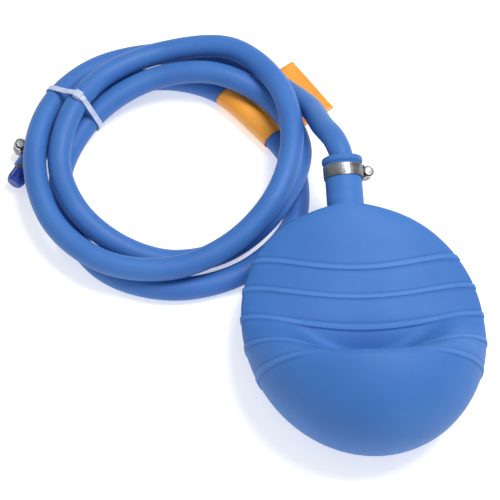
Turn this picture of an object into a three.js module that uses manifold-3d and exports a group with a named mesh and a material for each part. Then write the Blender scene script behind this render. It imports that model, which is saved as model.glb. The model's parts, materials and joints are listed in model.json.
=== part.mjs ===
// Inflatable pipe plug: a slack ribbed rubber ball, its coiled air hose and the capped valve on the
// hose's end. A worm-drive clip grips each end of the hose, a cable tie holds the coil, and a film
// tag is folded round one lap of it.
// Millimetres, +Z up. The origin is on the floor under the ball, and the ball's neck points to +Y.

import * as THREE from 'three';
import { mergeVertices } from 'three/addons/utils/BufferGeometryUtils.js';
import Module from 'manifold-3d';

const wasm = await Module();
wasm.setup();

// Gap that is left between pieces that touch
const SEAT_GAP = 0.3;

// Ball: its plan is two half ellipses that meet at the widest place
const BALL_WIDTH = 178;
const BALL_WIDEST_Y = 8;
const BALL_FRONT_LENGTH = 114;
const BALL_BACK_LENGTH = 102;
const BALL_HEIGHT = 102;
const BALL_RIM_HEIGHT = 46;
const BALL_DOME_LENGTH = 52;
const BALL_UNDERSIDE_DEPTH = 60;
const BALL_COLUMNS = 48;
const UNDERSIDE_LIFT_Y = 36;
const NECK_BLEND_Y = 48;

// The slack top falls steeply behind the dome's crest into a valley, and rises again to the neck
const CREST_Y = -48;
const CREST_MARGIN = 2;
const VALLEY_Y = -27;
const VALLEY_DEPTH = 9;
const SLOPE_LENGTH = 19;
const SLOPE_LENGTH_AT_SIDES = 50;
const SLACK_RISE = 24;
const SLACK_SAG = 17;

// Moulded ribs, spaced along the ball
const RIB_COUNT = 5;
const RIB_FIRST_Y = -41;
const RIB_PITCH = 24.5;
const RIB_WIDTH = 6.4;
const RIB_CROWN_WIDTH = 4.4;
const RIB_HEIGHT = 1.1;

// Neck of the ball, a tube with a rolled mouth that tilts up from the floor
const NECK_RADIUS = 14;
const NECK_LENGTH = 33;
const NECK_OFFSET_X = -5;
const NECK_ROOT_Y = 108;
const NECK_ROOT_Z = 55;
const NECK_TILT = THREE.MathUtils.degToRad(15);
const NECK_LIP_RADIUS = 15.6;
const NECK_LIP_LENGTH = 6;
const NECK_FLARE = 3;

// Hose
const HOSE_DIAMETER = 18;
const HOSE_BORE = 10;
const HOSE_SIDES = 12;
const HOSE_STEPS = 78;
const HOSE_INSERTION = 26;
const HOSE_RADIUS = HOSE_DIAMETER / 2;

// Coil: [distance from its middle, height] every 30 degrees, one lap in each row
const COIL_CENTRE = new THREE.Vector2(-137, 170);
const COIL_LAPS = [
  [[117, 21], [116, 12], [113, 9], [110, 19], [106, 30], [104, 32], [104, 28], [102, 28], [96, 27], [92, 32], [94, 44], [97, 48]],
  [[104, 45], [110, 37], [101, 28], [92, 32], [85, 38], [85, 30], [82, 25], [79, 15], [81, 9], [86, 11], [95, 25], [104, 29]],
  [[98, 26], [86, 32], [78, 28], [74, 24], [77, 18], [86, 10], [92, 9], [101, 9], [105, 9], [108, 9], [109, 9], [98, 9]],
  [[83, 10], [84, 10], [87, 10], [91, 11], [98, 11]],
];
// Lead from the neck's mouth down to the coil, and the tail that runs out from under it
const HOSE_LEAD = [[-5.5, 143, 64], [-9, 157, 63], [-16, 178, 51], [-22, 204, 35]];
const HOSE_TAIL = [[-239, 197, 11], [-252, 178, 11]];

// Worm-drive clips
const BAND_WIDTH = 9;
const BAND_THICKNESS = 0.7;
const BAND_LAP_GAP = 0.12;
const BAND_TAIL_ANGLE = THREE.MathUtils.degToRad(72);
const BAND_START_ANGLE = THREE.MathUtils.degToRad(-28);
const BAND_RAMP_ANGLE = THREE.MathUtils.degToRad(36);
const SLOT_WIDTH = 2.1;
const SLOT_LENGTH = 5.4;
const WORM_PITCH = 3;
const WORM_CORE_RADIUS = 2.4;
const WORM_THREAD_RADIUS = 0.62;
const WORM_CLEARANCE = 0.5;
const HOUSING_LENGTH = 9;
const HOUSING_WALL = 0.9;
const SCREW_HEAD_WIDTH = 6.3;
const SCREW_HEAD_LENGTH = 4;
const SCREW_SLOT_WIDTH = 1.1;
const SCREW_SLOT_DEPTH = 1.8;
const SCREW_COLLAR_LENGTH = 0.9;
const SCREW_COLLAR_RISE = 0.7;
const NECK_CLIP_FROM_MOUTH = 12;
const NECK_CLIP_TURN = THREE.MathUtils.degToRad(12);
const TAIL_CLIP_FROM_END = 15;
const TAIL_CLIP_TURN = THREE.MathUtils.degToRad(-165);

// Nipple in the hose's neck end
const NIPPLE_LENGTH = 24;
const NIPPLE_BORE = 6;

// Valve at the hose's far end
const BARB_RUN_OUT = 3;
const STEM_BARB_LENGTH = 21;
const STEM_COLLAR_RADIUS = 7;
const STEM_COLLAR_THICKNESS = 1.4;
const STEM_TIP_RADIUS = 3.85;
const STEM_TIP_LENGTH = 10;
const STEM_BORE = 5.2;
const CORE_LENGTH = 9;
const CORE_RECESS = 1.2;
const CORE_HOLE = 2;
const PIN_DIAMETER = 1.4;
const PIN_HEAD_DIAMETER = 1.8;
const PIN_PROUD = 0.9;
const CAP_DIAMETER = 14.4;
const CAP_LENGTH = 12.6;
const CAP_RIBS = 16;
const CAP_RIB_HEIGHT = 0.6;
const CAP_SKIRT = 8.2;
const WASHER_THICKNESS = 1;

// Cable tie
const TIE_ANGLE = THREE.MathUtils.degToRad(137);
const TIE_WIDTH = 4.6;
const TIE_THICKNESS = 1.2;
const TIE_GAP = 1.1;
const TIE_HEAD = new THREE.Vector3(6.6, 4.6, 6.4);
const TIE_TAIL_LENGTH = 3;

// Tag of thin film, folded round a lap of the hose with both leaves flat on the floor
const TAG_ANGLE = THREE.MathUtils.degToRad(42);
const TAG_LENGTH = 56;
const TAG_LEAF = 70;
const TAG_THICKNESS = 0.5;
const TAG_HOSE_GAP = 0.35;

const rubber = new THREE.MeshStandardMaterial({ color: 0x4f82c6, roughness: 0.62, metalness: 0 });
const hoseRubber = new THREE.MeshStandardMaterial({ color: 0x4a7cc2, roughness: 0.55, metalness: 0 });
const steel = new THREE.MeshStandardMaterial({ color: 0xb9bcc0, roughness: 0.3, metalness: 1 });
const brass = new THREE.MeshStandardMaterial({ color: 0xc2a35c, roughness: 0.35, metalness: 1 });
const capPlastic = new THREE.MeshStandardMaterial({ color: 0x163f9c, roughness: 0.4, metalness: 0 });
const washerRubber = new THREE.MeshStandardMaterial({ color: 0x1c1c1e, roughness: 0.8, metalness: 0 });
const nylon = new THREE.MeshStandardMaterial({ color: 0xdfe6f2, roughness: 0.4, metalness: 0 });
const film = new THREE.MeshStandardMaterial({ color: 0xeda03c, roughness: 0.45, metalness: 0 });

const { cos, sin, max, min, PI } = Math;
const smooth = THREE.MathUtils.smoothstep;
const lerp = THREE.MathUtils.lerp;

function merged(geometry) {
  const bare = geometry.clone();
  for (const name of Object.keys(bare.attributes)) {
    if (name !== 'position') bare.deleteAttribute(name);
  }
  return mergeVertices(bare, 1e-4);
}

function solidOf(geometry) {
  const closed = merged(geometry);
  const vertProperties = new Float32Array(closed.attributes.position.array);
  const triVerts = new Uint32Array(closed.index.array);
  return new wasm.Manifold(new wasm.Mesh({ numProp: 3, vertProperties, triVerts }));
}

function geometryOf(solid) {
  const mesh = solid.getMesh();
  const geometry = new THREE.BufferGeometry();
  geometry.setAttribute('position', new THREE.BufferAttribute(new Float32Array(mesh.vertProperties), 3));
  geometry.setIndex(new THREE.BufferAttribute(new Uint32Array(mesh.triVerts), 1));
  geometry.computeVertexNormals();
  return geometry;
}

function piece(name, geometry, material) {
  const mesh = new THREE.Mesh(geometry, material);
  mesh.name = name;
  return mesh;
}

// A lathe turned so that its axis is +Z; the profile is [radius, height] pairs
function turned(profile, segments) {
  const points = profile.map(([radius, height]) => new THREE.Vector2(radius, height));
  return new THREE.LatheGeometry(points, segments).rotateX(PI / 2);
}

// A closed skin over rings of equally many points, shut by a fan at each end
function loft(rings) {
  const columns = rings[0].length;
  const centre = (ring) => ring.reduce((sum, p) => sum.add(p), new THREE.Vector3()).divideScalar(columns);
  const points = [...rings.flat(), centre(rings[0]), centre(rings.at(-1))];
  const first = rings.length * columns;
  const faces = [];
  for (let j = 0; j < columns; j += 1) {
    const k = (j + 1) % columns;
    faces.push(first, j, k);
    for (let i = 0; i + 1 < rings.length; i += 1) {
      const a = i * columns;
      const b = a + columns;
      faces.push(a + j, b + k, a + k, a + j, b + j, b + k);
    }
    const last = (rings.length - 1) * columns;
    faces.push(first + 1, last + k, last + j);
  }
  const geometry = new THREE.BufferGeometry().setFromPoints(points);
  geometry.setIndex(faces);
  geometry.computeVertexNormals();
  return geometry;
}

// A point on the neck's axis, at a distance from its root
function neckPoint(distance) {
  return new THREE.Vector3(
    NECK_OFFSET_X,
    NECK_ROOT_Y + distance * cos(NECK_TILT),
    NECK_ROOT_Z + distance * sin(NECK_TILT),
  );
}

function ballHalfWidth(y) {
  const length = y < BALL_WIDEST_Y ? BALL_FRONT_LENGTH : BALL_BACK_LENGTH;
  const t = min(1, Math.abs(y - BALL_WIDEST_Y) / length);
  return (BALL_WIDTH / 2) * Math.sqrt(1 - t * t);
}

// How far the slack top has crept forward, which bows the ribs towards the dome
function slackShift(y, across) {
  const growing = smooth(y, CREST_Y, VALLEY_Y);
  const fading = 1 - smooth(y, RIB_FIRST_Y + 4 * RIB_PITCH, NECK_ROOT_Y);
  return SLACK_SAG * growing * fading * (1 - across * across);
}

// A point of the ball's plain skin; the turn runs round the section, from the right rim over the top
function skinPoint(station, turn) {
  const across = cos(turn);
  const level = sin(turn);
  const nearNeck = smooth(station, NECK_BLEND_Y, NECK_ROOT_Y);
  const halfWidth = max(ballHalfWidth(station), nearNeck * NECK_RADIUS);
  const x = halfWidth * across + NECK_OFFSET_X * nearNeck;
  const rim = lerp(BALL_RIM_HEIGHT, NECK_ROOT_Z, nearNeck);
  const domeEnd = BALL_WIDEST_Y - BALL_FRONT_LENGTH;
  const intoDome = max(0, domeEnd + BALL_DOME_LENGTH - station) / BALL_DOME_LENGTH;
  const domeFall = Math.sqrt(max(0, 1 - intoDome * intoDome));
  if (level < 0) {
    const intoNeck = max(0, station - UNDERSIDE_LIFT_Y) / (NECK_ROOT_Y + CREST_MARGIN - UNDERSIDE_LIFT_Y);
    const depth = max(BALL_UNDERSIDE_DEPTH * domeFall * Math.sqrt(1 - intoNeck * intoNeck), nearNeck * NECK_RADIUS);
    return new THREE.Vector3(x, station, max(0, rim + depth * level));
  }
  const y = station - slackShift(station, across) * level;
  const side = min(1, (x / 62) ** 2);
  const slope = lerp(SLOPE_LENGTH, SLOPE_LENGTH_AT_SIDES, side);
  const slack = smooth(y, CREST_Y, CREST_Y + slope);
  const valley = VALLEY_DEPTH * Math.exp(-(((y - VALLEY_Y) / 13) ** 2)) * (1 - side) * slack;
  const toNeck = smooth(y, RIB_FIRST_Y + 4 * RIB_PITCH, NECK_ROOT_Y);
  const slackRise = lerp(lerp(SLACK_RISE - 10, SLACK_RISE, smooth(y, VALLEY_Y, 20)), NECK_RADIUS, toNeck);
  const rise = lerp((BALL_HEIGHT - BALL_RIM_HEIGHT) * domeFall, slackRise, slack);
  return new THREE.Vector3(x, y, rim + rise * level - valley * level);
}

// The skin with the moulded rib's height laid on along the surface normal
function ribbedPoint(station, turn, height) {
  const point = skinPoint(station, turn);
  if (height > 0) {
    const step = 0.5;
    const alongBall = skinPoint(station + step, turn).sub(skinPoint(station - step, turn));
    const roundBall = skinPoint(station, turn + 0.01).sub(skinPoint(station, turn - 0.01));
    point.addScaledVector(roundBall.cross(alongBall).normalize(), -height);
  }
  point.z = max(0, point.z);
  return point;
}

function ballStations() {
  const stations = [];
  const domeEnd = BALL_WIDEST_Y - BALL_FRONT_LENGTH;
  for (const turn of [8, 18, 29, 40, 51, 62, 73]) {
    const angle = THREE.MathUtils.degToRad(turn);
    stations.push([domeEnd + BALL_DOME_LENGTH * (1 - cos(angle)), 0]);
  }
  for (const before of [6, 3, 1]) stations.push([CREST_Y - before * CREST_MARGIN, 0]);
  for (let i = 0; i < RIB_COUNT; i += 1) {
    const middle = RIB_FIRST_Y + i * RIB_PITCH;
    stations.push([middle - RIB_WIDTH / 2, 0], [middle - RIB_CROWN_WIDTH / 2, RIB_HEIGHT]);
    stations.push([middle + RIB_CROWN_WIDTH / 2, RIB_HEIGHT], [middle + RIB_WIDTH / 2, 0]);
    if (i + 1 < RIB_COUNT) {
      const between = RIB_PITCH - RIB_WIDTH;
      const rows = i === 0 ? 4 : 3;
      for (let k = 1; k < rows; k += 1) stations.push([middle + RIB_WIDTH / 2 + (between * k) / rows, 0]);
    }
  }
  const shoulder = RIB_FIRST_Y + (RIB_COUNT - 1) * RIB_PITCH + RIB_WIDTH / 2;
  for (const share of [0.22, 0.42, 0.6, 0.74, 0.85, 0.93, 0.98]) {
    stations.push([lerp(shoulder, NECK_ROOT_Y, share), 0]);
  }
  return stations;
}

function neckRing(distance, radius) {
  const centre = neckPoint(distance);
  const up = new THREE.Vector3(0, -sin(NECK_TILT), cos(NECK_TILT));
  return columnTurns().map((turn) => new THREE.Vector3(radius * cos(turn), 0, 0)
    .addScaledVector(up, radius * sin(turn))
    .add(centre));
}

// Column angles, set half a step off so that a facet and not a corner lies on the middle line
function columnTurns() {
  return Array.from({ length: BALL_COLUMNS }, (_, j) => ((j + 0.5) * 2 * PI) / BALL_COLUMNS);
}

function makeBall() {
  const rings = ballStations().map(([station, height]) => columnTurns().map((turn) => ribbedPoint(station, turn, height)));
  const lip = NECK_LENGTH - NECK_LIP_LENGTH;
  const neck = [
    [2, NECK_RADIUS + 0.6],
    [6, NECK_RADIUS],
    [lip - 1, NECK_RADIUS],
    [lip + 1.2, NECK_LIP_RADIUS - 0.4],
    [lip + 3, NECK_LIP_RADIUS],
    [NECK_LENGTH - 1.2, NECK_LIP_RADIUS - 0.4],
    [NECK_LENGTH, NECK_LIP_RADIUS - 1.8],
  ];
  for (const [distance, radius] of neck) rings.push(neckRing(distance, radius));
  const bore = HOSE_RADIUS + SEAT_GAP;
  const hollow = turned([
    [0, NECK_LENGTH - HOSE_INSERTION - SEAT_GAP],
    [bore, NECK_LENGTH - HOSE_INSERTION - SEAT_GAP],
    [bore, NECK_LENGTH - 8],
    [bore + NECK_FLARE * 0.4, NECK_LENGTH - 3],
    [bore + NECK_FLARE, NECK_LENGTH + 1],
    [0, NECK_LENGTH + 1],
  ], 32);
  hollow.applyMatrix4(alongAxis(neckPoint(0), neckDirection(), new THREE.Vector3(1, 0, 0)));
  return geometryOf(solidOf(loft(rings)).subtract(solidOf(hollow)));
}

function neckDirection() {
  return new THREE.Vector3(0, cos(NECK_TILT), sin(NECK_TILT));
}

// The placement that sends local +Z along a direction and local +X as near as can be to another
function alongAxis(origin, direction, sideways) {
  const z = direction.clone().normalize();
  const x = sideways.clone().addScaledVector(z, -sideways.dot(z)).normalize();
  const y = z.clone().cross(x);
  return new THREE.Matrix4().makeBasis(x, y, z).setPosition(origin);
}

// The hose's centreline, which never sinks below what the hose can reach when it lies on the floor
class HosePath extends THREE.CatmullRomCurve3 {
  getPoint(t, target) {
    const point = super.getPoint(t, target);
    point.z = max(point.z, HOSE_RADIUS);
    return point;
  }
}

function makeHosePath() {
  const points = [neckPoint(NECK_LENGTH - HOSE_INSERTION), neckPoint(NECK_LENGTH - HOSE_INSERTION / 2)];
  for (const [x, y, z] of HOSE_LEAD) points.push(new THREE.Vector3(x, y, z));
  COIL_LAPS.flat().forEach(([radius, height], k) => {
    const angle = ((k + 1) * PI) / 6;
    points.push(new THREE.Vector3(
      COIL_CENTRE.x + radius * cos(angle),
      COIL_CENTRE.y + radius * sin(angle),
      height,
    ));
  });
  for (const [x, y, z] of HOSE_TAIL) points.push(new THREE.Vector3(x, y, z));
  const path = new HosePath(points);
  path.arcLengthDivisions = 2000;
  return path;
}

function makeHose(path) {
  const section = new THREE.Shape();
  for (let i = 0; i < HOSE_SIDES; i += 1) {
    const angle = (i * 2 * PI) / HOSE_SIDES;
    const move = i === 0 ? 'moveTo' : 'lineTo';
    section[move](HOSE_RADIUS * cos(angle), HOSE_RADIUS * sin(angle));
  }
  const tube = new THREE.ExtrudeGeometry(section, { steps: HOSE_STEPS, extrudePath: path, bevelEnabled: false });
  let solid = solidOf(tube);
  for (const [end, depth] of [[0, NIPPLE_LENGTH], [1, STEM_BARB_LENGTH]]) {
    const inward = path.getTangentAt(end).multiplyScalar(end === 0 ? 1 : -1);
    const mouth = path.getPointAt(end).addScaledVector(inward, -1);
    const bore = turned([[0, 0], [HOSE_BORE / 2, 0], [HOSE_BORE / 2, depth + 1 + SEAT_GAP], [0, depth + 1 + SEAT_GAP]], 24);
    bore.applyMatrix4(alongAxis(mouth, inward, new THREE.Vector3(1, 0, 0)));
    solid = solid.subtract(solidOf(bore));
  }
  return geometryOf(solid);
}

// Radii and places that the pieces of one clip share; the clip's axis is its local +Z
function clipSizes(gripRadius) {
  const inner = gripRadius + SEAT_GAP;
  const outerLayer = inner + BAND_THICKNESS + BAND_LAP_GAP;
  const top = outerLayer + BAND_THICKNESS;
  const wormAxis = top + WORM_CLEARANCE + WORM_CORE_RADIUS;
  return { inner, outerLayer, top, wormAxis };
}

function makeClipBand(gripRadius) {
  const { inner, outerLayer, top } = clipSizes(gripRadius);
  const finish = 2 * PI + BAND_TAIL_ANGLE;
  const rampEnd = 2 * PI + BAND_START_ANGLE - 0.05;
  const layer = (angle) => lerp(inner, outerLayer, smooth(angle, rampEnd - BAND_RAMP_ANGLE, rampEnd));
  const count = 56;
  const outline = [];
  for (let i = 0; i <= count; i += 1) {
    const angle = lerp(BAND_START_ANGLE, finish, i / count);
    outline.push(new THREE.Vector2(cos(angle), sin(angle)).multiplyScalar(layer(angle)));
  }
  for (let i = count; i >= 0; i -= 1) {
    const angle = lerp(BAND_START_ANGLE, finish, i / count);
    outline.push(new THREE.Vector2(cos(angle), sin(angle)).multiplyScalar(layer(angle) + BAND_THICKNESS));
  }
  const strip = new THREE.ExtrudeGeometry(new THREE.Shape(outline), { depth: BAND_WIDTH, bevelEnabled: false });
  let solid = solidOf(strip.translate(0, 0, -BAND_WIDTH / 2));
  const slotAngle = WORM_PITCH / (top - BAND_THICKNESS / 2);
  const slotFloor = outerLayer - BAND_LAP_GAP / 2;
  const slotCount = Math.floor(BAND_TAIL_ANGLE / slotAngle - 0.5);
  for (let k = -2; k <= slotCount; k += 1) {
    const slot = new THREE.BoxGeometry(top - slotFloor + 1, SLOT_WIDTH, SLOT_LENGTH);
    slot.translate((top + slotFloor + 1) / 2, 0, 0).rotateZ(k * slotAngle);
    solid = solid.subtract(solidOf(slot));
  }
  return geometryOf(solid);
}

// The saddle over the band: an arch in section, run along the worm's axis, local +Y
function makeClipHousing(gripRadius) {
  const { inner, top, wormAxis } = clipSizes(gripRadius);
  const tunnel = WORM_CORE_RADIUS + 2 * WORM_THREAD_RADIUS + WORM_CLEARANCE;
  const legInside = BAND_WIDTH / 2 + SEAT_GAP;
  const legOutside = legInside + HOUSING_WALL;
  const foot = inner + 0.1;
  const ceiling = top + SEAT_GAP;
  const arch = (radius, from, to, steps) => Array.from({ length: steps + 1 }, (_, i) => {
    const angle = lerp(from, to, i / steps);
    return new THREE.Vector2(wormAxis + radius * cos(angle), radius * sin(angle));
  });
  const springing = Math.acos((ceiling - wormAxis) / tunnel);
  const shoulder = Math.acos(max(-0.9, (ceiling + HOUSING_WALL - wormAxis) / (tunnel + HOUSING_WALL)));
  const outline = [
    new THREE.Vector2(foot, -legOutside),
    new THREE.Vector2(ceiling + HOUSING_WALL * 0.4, -legOutside),
    ...arch(tunnel + HOUSING_WALL, -shoulder, shoulder, 12),
    new THREE.Vector2(ceiling + HOUSING_WALL * 0.4, legOutside),
    new THREE.Vector2(foot, legOutside),
    new THREE.Vector2(foot, legInside),
    new THREE.Vector2(ceiling, legInside),
    ...arch(tunnel, springing, -springing, 12),
    new THREE.Vector2(ceiling, -legInside),
    new THREE.Vector2(foot, -legInside),
  ];
  const saddle = new THREE.ExtrudeGeometry(new THREE.Shape(outline), { depth: HOUSING_LENGTH, bevelEnabled: false });
  return saddle.translate(0, 0, -HOUSING_LENGTH / 2).rotateX(-PI / 2);
}

class Helix extends THREE.Curve {
  constructor(radius, pitch, turns, phase) {
    super();
    Object.assign(this, { radius, pitch, turns, phase });
  }

  getPoint(t, target = new THREE.Vector3()) {
    const angle = (t - 0.5) * this.turns * 2 * PI;
    return target.set(
      this.radius * cos(angle + this.phase),
      this.radius * sin(angle + this.phase),
      (angle / (2 * PI)) * this.pitch,
    );
  }
}

// The worm screw, turned about its own +Z: thread in the housing, collar and slotted hexagon head
function makeClipScrew() {
  const half = HOUSING_LENGTH / 2 + SEAT_GAP;
  const threadLength = HOUSING_LENGTH - 2.8;
  const collar = WORM_CORE_RADIUS + SCREW_COLLAR_RISE;
  const headTop = half + SCREW_COLLAR_LENGTH + SCREW_HEAD_LENGTH;
  const shaft = turned([
    [0, -half - SCREW_COLLAR_LENGTH],
    [collar, -half - SCREW_COLLAR_LENGTH],
    [collar, -half],
    [WORM_CORE_RADIUS, -half],
    [WORM_CORE_RADIUS, half],
    [collar, half],
    [collar, half + SCREW_COLLAR_LENGTH],
    [0, half + SCREW_COLLAR_LENGTH],
  ], 20);
  const head = new THREE.CylinderGeometry(SCREW_HEAD_WIDTH / Math.sqrt(3), SCREW_HEAD_WIDTH / Math.sqrt(3), SCREW_HEAD_LENGTH + 0.4, 6);
  head.rotateX(PI / 2).translate(0, 0, headTop - (SCREW_HEAD_LENGTH + 0.4) / 2);
  const slot = new THREE.BoxGeometry(SCREW_HEAD_WIDTH * 1.4, SCREW_SLOT_WIDTH, SCREW_SLOT_DEPTH * 2);
  slot.translate(0, 0, headTop);
  const ridge = new THREE.Shape();
  for (let i = 0; i < 6; i += 1) {
    const move = i === 0 ? 'moveTo' : 'lineTo';
    ridge[move](WORM_THREAD_RADIUS * cos((i * PI) / 3), WORM_THREAD_RADIUS * sin((i * PI) / 3));
  }
  const turns = threadLength / WORM_PITCH;
  const helix = new Helix(WORM_CORE_RADIUS + WORM_THREAD_RADIUS * 0.7, WORM_PITCH, turns, PI);
  const thread = new THREE.ExtrudeGeometry(ridge, { steps: Math.ceil(turns * 12), extrudePath: helix, bevelEnabled: false });
  return geometryOf(solidOf(shaft).add(solidOf(head)).subtract(solidOf(slot)).add(solidOf(thread)));
}

function makeClip(prefix, gripRadius, place) {
  const clip = new THREE.Group();
  place.decompose(clip.position, clip.quaternion, clip.scale);
  const screw = piece(`${prefix}_screw`, makeClipScrew(), steel);
  screw.position.x = clipSizes(gripRadius).wormAxis;
  screw.rotation.x = -PI / 2;
  clip.add(
    piece(`${prefix}_band`, makeClipBand(gripRadius), steel),
    piece(`${prefix}_housing`, makeClipHousing(gripRadius), steel),
    screw,
  );
  return clip;
}

// A barbed tail that starts at z = 0 and runs down to -length
function barbProfile(length, bore, barbs) {
  const crest = HOSE_BORE / 2 - SEAT_GAP;
  const root = crest - 0.8;
  const profile = [[bore / 2, -length]];
  const pitch = (length - BARB_RUN_OUT) / barbs;
  for (let i = 0; i < barbs; i += 1) {
    const low = -length + i * pitch;
    profile.push([root, low], [crest, low + pitch * 0.75], [crest, low + pitch * 0.85]);
  }
  profile.push([root, -BARB_RUN_OUT]);
  return profile;
}

function makeNipple() {
  const profile = barbProfile(NIPPLE_LENGTH - SEAT_GAP, NIPPLE_BORE, 3);
  profile.push([HOSE_BORE / 2 - SEAT_GAP, -2.2], [HOSE_BORE / 2 - SEAT_GAP, 0], [NIPPLE_BORE / 2, 0], profile[0]);
  return turned(profile.map(([r, z]) => [r, -z]).reverse(), 24);
}

// The valve's stem: barbs in the hose, a collar on the hose's end, and the tip that the cap screws on
function makeStem() {
  const profile = barbProfile(STEM_BARB_LENGTH - SEAT_GAP, STEM_BORE - 1.6, 3);
  const collarLow = SEAT_GAP;
  const collarTop = collarLow + STEM_COLLAR_THICKNESS;
  const tip = collarTop + STEM_TIP_LENGTH;
  const coreSeat = tip - CORE_LENGTH - CORE_RECESS;
  profile.push(
    [HOSE_BORE / 2 - SEAT_GAP - 0.8, collarLow],
    [STEM_COLLAR_RADIUS, collarLow],
    [STEM_COLLAR_RADIUS, collarTop - 0.3],
    [STEM_COLLAR_RADIUS - 0.3, collarTop],
    [STEM_TIP_RADIUS, collarTop],
    [STEM_TIP_RADIUS, tip - 0.5],
    [STEM_TIP_RADIUS - 0.5, tip],
    [STEM_BORE / 2, tip],
    [STEM_BORE / 2, coreSeat],
    [STEM_BORE / 2 - 0.8, coreSeat],
    profile[0],
  );
  return turned(profile, 28);
}

// Height of the stem's rim over the hose's end
function stemTop() {
  return SEAT_GAP + STEM_COLLAR_THICKNESS + STEM_TIP_LENGTH;
}

function makeCore() {
  const outside = STEM_BORE / 2 - SEAT_GAP;
  const top = stemTop() - CORE_RECESS;
  const bottom = top - CORE_LENGTH + SEAT_GAP;
  return turned([
    [CORE_HOLE / 2, bottom],
    [outside - 0.5, bottom],
    [outside - 0.1, bottom + 1.5],
    [outside - 0.5, bottom + 2],
    [outside - 0.5, top - 4],
    [outside, top - 3.6],
    [outside, top],
    [CORE_HOLE / 2, top],
    [CORE_HOLE / 2, bottom],
  ], 20);
}

function makePin() {
  const top = stemTop() - CORE_RECESS + PIN_PROUD;
  const bottom = stemTop() - CORE_RECESS - CORE_LENGTH - 1;
  return turned([
    [0, bottom],
    [PIN_DIAMETER / 2, bottom],
    [PIN_DIAMETER / 2, top - 0.6],
    [PIN_HEAD_DIAMETER / 2, top - 0.6],
    [PIN_HEAD_DIAMETER / 2, top - 0.2],
    [PIN_HEAD_DIAMETER / 2 - 0.2, top],
    [0, top],
  ], 12);
}

// The cap starts just over the collar; its bore takes the stem's tip, the washer and the pin
function makeCap() {
  const low = SEAT_GAP + STEM_COLLAR_THICKNESS + SEAT_GAP;
  const outline = new THREE.Shape();
  const radius = CAP_DIAMETER / 2;
  for (let i = 0; i < CAP_RIBS; i += 1) {
    const steps = [[0, radius - CAP_RIB_HEIGHT], [0.25, radius], [0.6, radius], [0.85, radius - CAP_RIB_HEIGHT]];
    for (const [share, r] of steps) {
      const angle = ((i + share) * 2 * PI) / CAP_RIBS;
      const move = i === 0 && share === 0 ? 'moveTo' : 'lineTo';
      outline[move](r * cos(angle), r * sin(angle));
    }
  }
  const grip = new THREE.ExtrudeGeometry(outline, { depth: CAP_LENGTH, bevelEnabled: false });
  const envelope = turned([
    [0, 0],
    [radius - 0.5, 0],
    [radius + 0.1, 0.7],
    [radius + 0.1, CAP_SKIRT],
    [radius - 0.9, CAP_LENGTH - 1],
    [radius - 1.9, CAP_LENGTH],
    [0, CAP_LENGTH],
  ], 32);
  const seat = stemTop() - low + WASHER_THICKNESS + 2 * SEAT_GAP;
  const bore = turned([
    [0, -1],
    [STEM_TIP_RADIUS + SEAT_GAP, -1],
    [STEM_TIP_RADIUS + SEAT_GAP, seat],
    [0, seat],
  ], 28);
  const solid = solidOf(grip).intersect(solidOf(envelope)).subtract(solidOf(bore));
  return geometryOf(solid).translate(0, 0, low);
}

function makeWasher() {
  const low = stemTop() + SEAT_GAP;
  const inner = PIN_HEAD_DIAMETER / 2 + 0.9;
  const outer = STEM_TIP_RADIUS;
  return turned([
    [inner, low],
    [outer, low],
    [outer, low + WASHER_THICKNESS],
    [inner, low + WASHER_THICKNESS],
    [inner, low],
  ], 28);
}

// Where the hose crosses the upright plane through the coil's middle at an angle, as
// [distance out, height], measured along that plane
function crossings(path, angle) {
  const found = [];
  const normal = new THREE.Vector2(-sin(angle), cos(angle));
  const out = new THREE.Vector2(cos(angle), sin(angle));
  const count = 1600;
  let before = null;
  for (let i = 0; i <= count; i += 1) {
    const point = path.getPoint(i / count);
    const flat = new THREE.Vector2(point.x - COIL_CENTRE.x, point.y - COIL_CENTRE.y);
    const now = { off: flat.dot(normal), across: flat.dot(out), height: point.z };
    if (before && before.off * now.off <= 0 && now.across > 0) {
      found.push(new THREE.Vector2((before.across + now.across) / 2, (before.height + now.height) / 2));
    }
    before = now;
  }
  return found;
}

// Outline of a strap pulled tight round circles: straight runs joined by arcs
function strapOutline(centres, radius) {
  const middle = centres.reduce((sum, c) => sum.add(c), new THREE.Vector2()).divideScalar(centres.length);
  const ordered = centres.slice().sort((a, b) => Math.atan2(a.y - middle.y, a.x - middle.x)
    - Math.atan2(b.y - middle.y, b.x - middle.x));
  const facing = ordered.map((centre, i) => {
    const next = ordered[(i + 1) % ordered.length];
    return Math.atan2(next.x - centre.x, -(next.y - centre.y)) + PI;
  });
  const points = [];
  ordered.forEach((centre, i) => {
    const from = facing[(i + ordered.length - 1) % ordered.length];
    let sweep = facing[i] - from;
    while (sweep < 0) sweep += 2 * PI;
    while (sweep > 2 * PI) sweep -= 2 * PI;
    const steps = max(1, Math.ceil(sweep / 0.3));
    for (let k = 0; k <= steps; k += 1) {
      const angle = from + (sweep * k) / steps;
      points.push(new THREE.Vector2(centre.x + radius * cos(angle), centre.y + radius * sin(angle)));
    }
  });
  return { points, ordered };
}

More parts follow.
